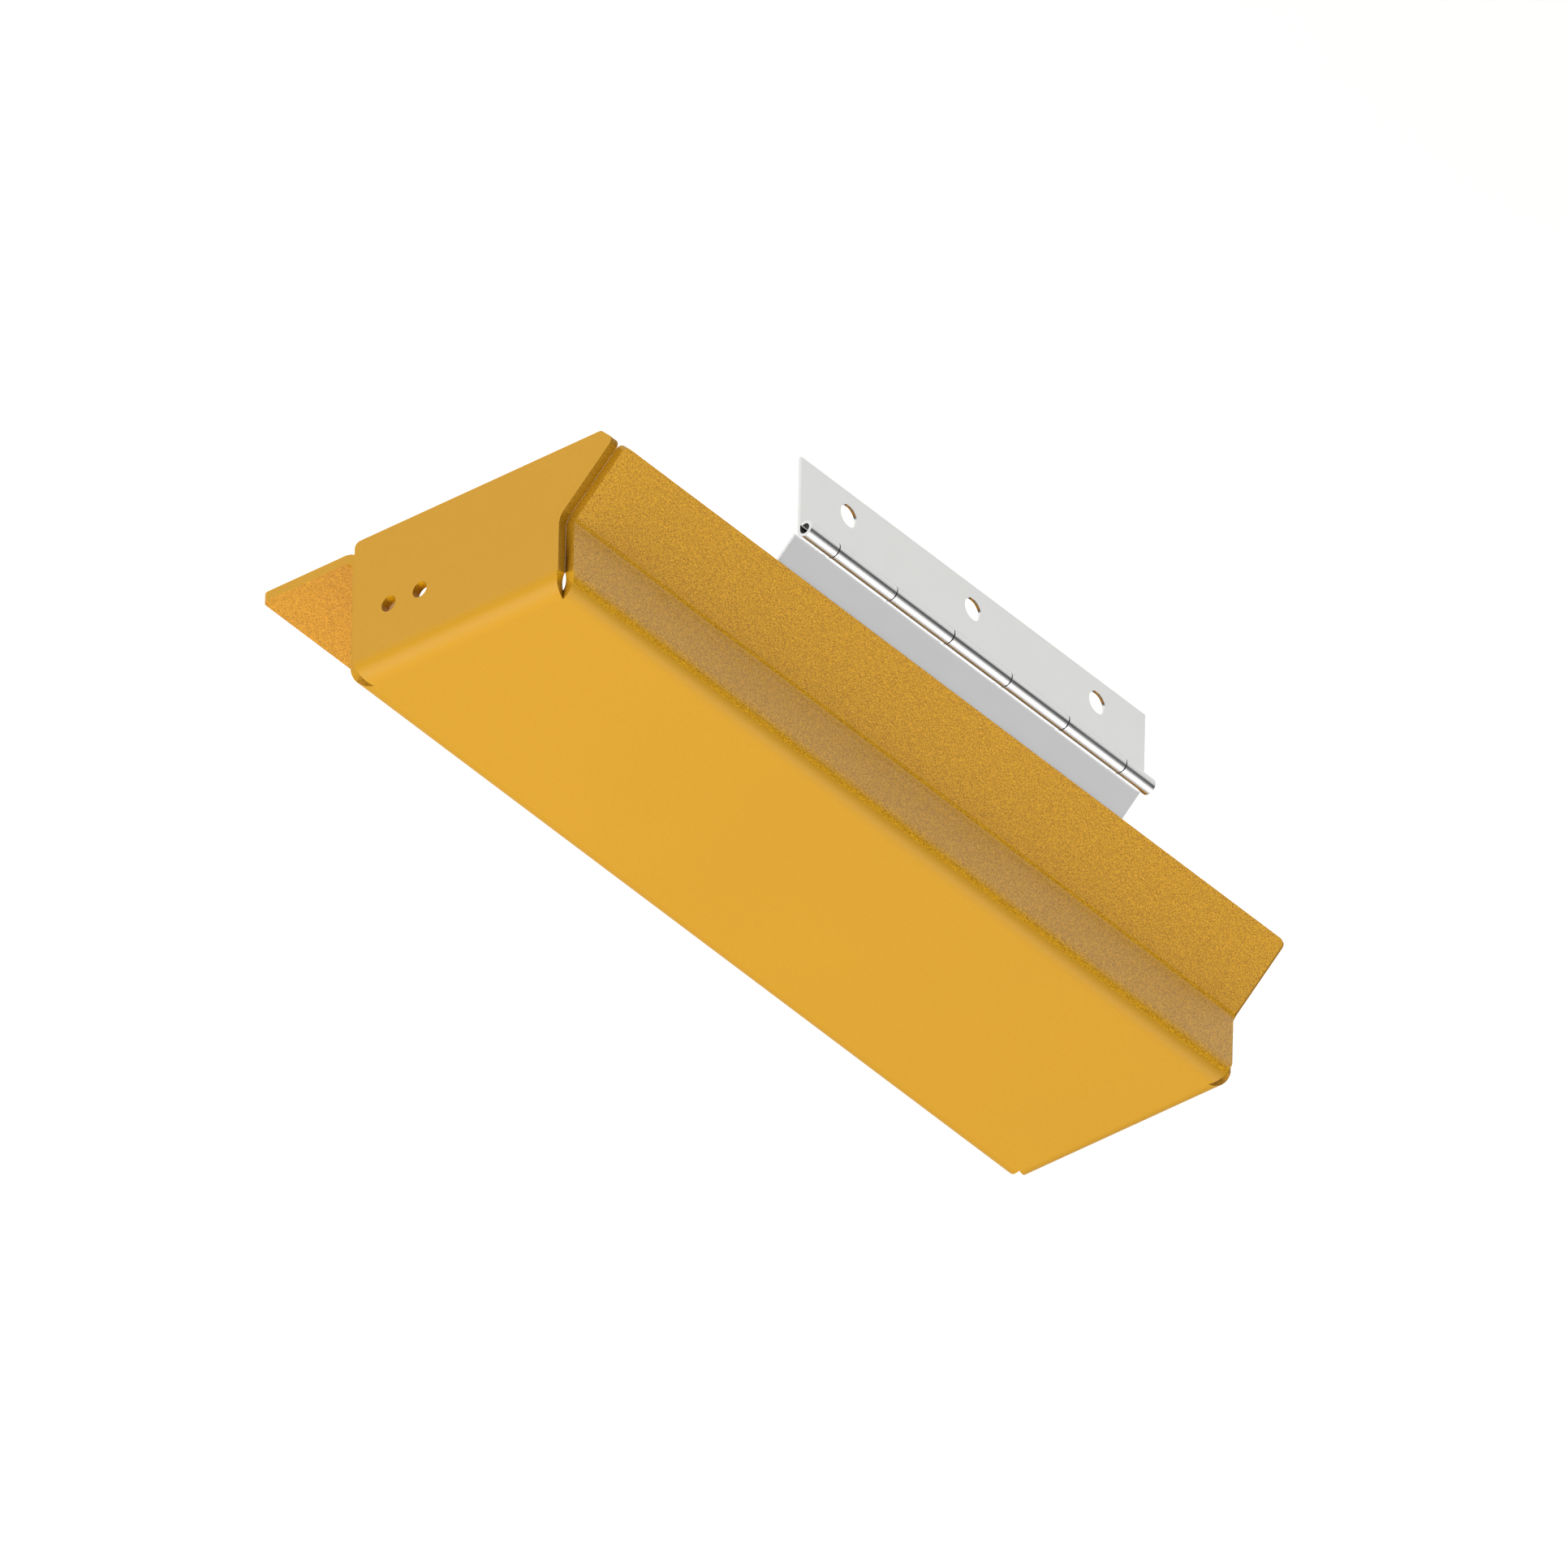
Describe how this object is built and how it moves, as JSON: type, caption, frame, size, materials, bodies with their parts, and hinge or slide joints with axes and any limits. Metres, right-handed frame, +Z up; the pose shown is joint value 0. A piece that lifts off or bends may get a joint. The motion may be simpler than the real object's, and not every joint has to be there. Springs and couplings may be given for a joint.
{
  "type": "hinged sheet metal cover",
  "caption": "Hinged sheet-metal hood: a shallow open-bottomed rectangular pan with a flat front lip and a rear flare, swinging on a continuous hinge.",
  "frame": {"origin": "centre of the middle screw hole of the fixed hinge leaf, on the leaf's mounting face", "axes": "+X along the cover, from the end panel with two small holes to the plain one; +Y from the front lip to the hinge; +Z up, with the cover closed and its rim level"},
  "size_m": [0.298, 0.1389, 0.0747],
  "materials": {
    "powder_coat": "satin yellow powder coat",
    "stainless": "bright rolled stainless",
    "zinc_plate": "clear zinc plate"
  },
  "bodies": {
    "hinge_mount": {"hinge_leaf_fixed": "stainless", "hinge_pin": "stainless"},
    "cover": {"cover_pan": "powder_coat", "hinge_leaf_moving": "stainless", "weld_stud_1": "stainless", "lock_washer_1": "zinc_plate", "jam_nut_1": "zinc_plate", "weld_stud_2": "stainless", "lock_washer_2": "zinc_plate", "jam_nut_2": "zinc_plate", "weld_stud_3": "stainless", "lock_washer_3": "zinc_plate", "jam_nut_3": "zinc_plate"}
  },
  "joints": [
    {"name": "cover_hinge", "type": "hinge", "parent": "hinge_mount", "child": "cover", "pos_m": [0, 0.0026, 0.0173], "axis": [-1, 0, 0], "range_deg": [0, 200]}
  ]
}
